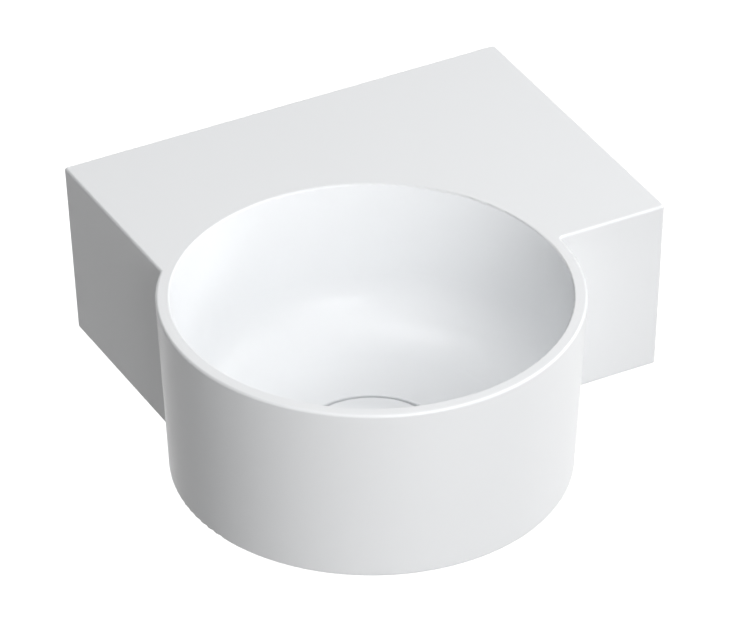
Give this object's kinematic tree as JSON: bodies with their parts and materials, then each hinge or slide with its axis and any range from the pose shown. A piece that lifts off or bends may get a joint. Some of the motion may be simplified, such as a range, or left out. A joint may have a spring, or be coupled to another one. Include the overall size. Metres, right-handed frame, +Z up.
{
  "type": "corner basin",
  "caption": "Wall-hung corner basin: a round drafted bowl cast in one with a rectangular shelf that fits the corner, with a push-open waste and wall fixings.",
  "frame": {"origin": "in the back wall's plane, midway between the two fixing bolts", "axes": "+Z up, +Y into the back wall along the bolts, +X towards the side wall"},
  "size_m": [0.3883, 0.4701, 0.1985],
  "materials": {
    "glaze": "glossy white glaze over vitreous china",
    "chrome": "polished chrome on brass",
    "brass": "turned brass",
    "zinc_steel": "bright zinc-plated steel",
    "spring_steel": "drawn stainless wire",
    "black_rubber": "matt moulded rubber",
    "carrier_plastic": "satin moulded plastic",
    "cartridge_plastic": "satin moulded acetal",
    "washer_plastic": "smooth pressed polyethylene",
    "plug_plastic": "grey moulded nylon"
  },
  "bodies": {
    "basin": {"basin_body": "glaze", "waste_body": "chrome", "flange_gasket": "black_rubber", "lower_gasket": "black_rubber", "slip_washer": "washer_plastic", "back_nut": "brass", "cartridge_sleeve": "cartridge_plastic", "sleeve_cap": "cartridge_plastic", "return_spring": "spring_steel", "latch_pin": "spring_steel", "hanger_bolts": "zinc_steel", "wall_plugs": "plug_plastic", "shoulder_bushes": "washer_plastic", "fixing_washers": "zinc_steel", "fixing_nuts": "zinc_steel"},
    "plug": {"drain_cover": "glaze", "cover_carrier": "carrier_plastic", "cover_seal": "black_rubber", "stem_locknut": "brass", "plunger": "cartridge_plastic"}
  },
  "joints": [
    {"name": "plug_slide", "type": "slide", "parent": "basin", "child": "plug", "axis": [0, 0, 1], "range_m": [-0.0015, 0.009], "deforming": ["return_spring", "latch_pin"]}
  ]
}
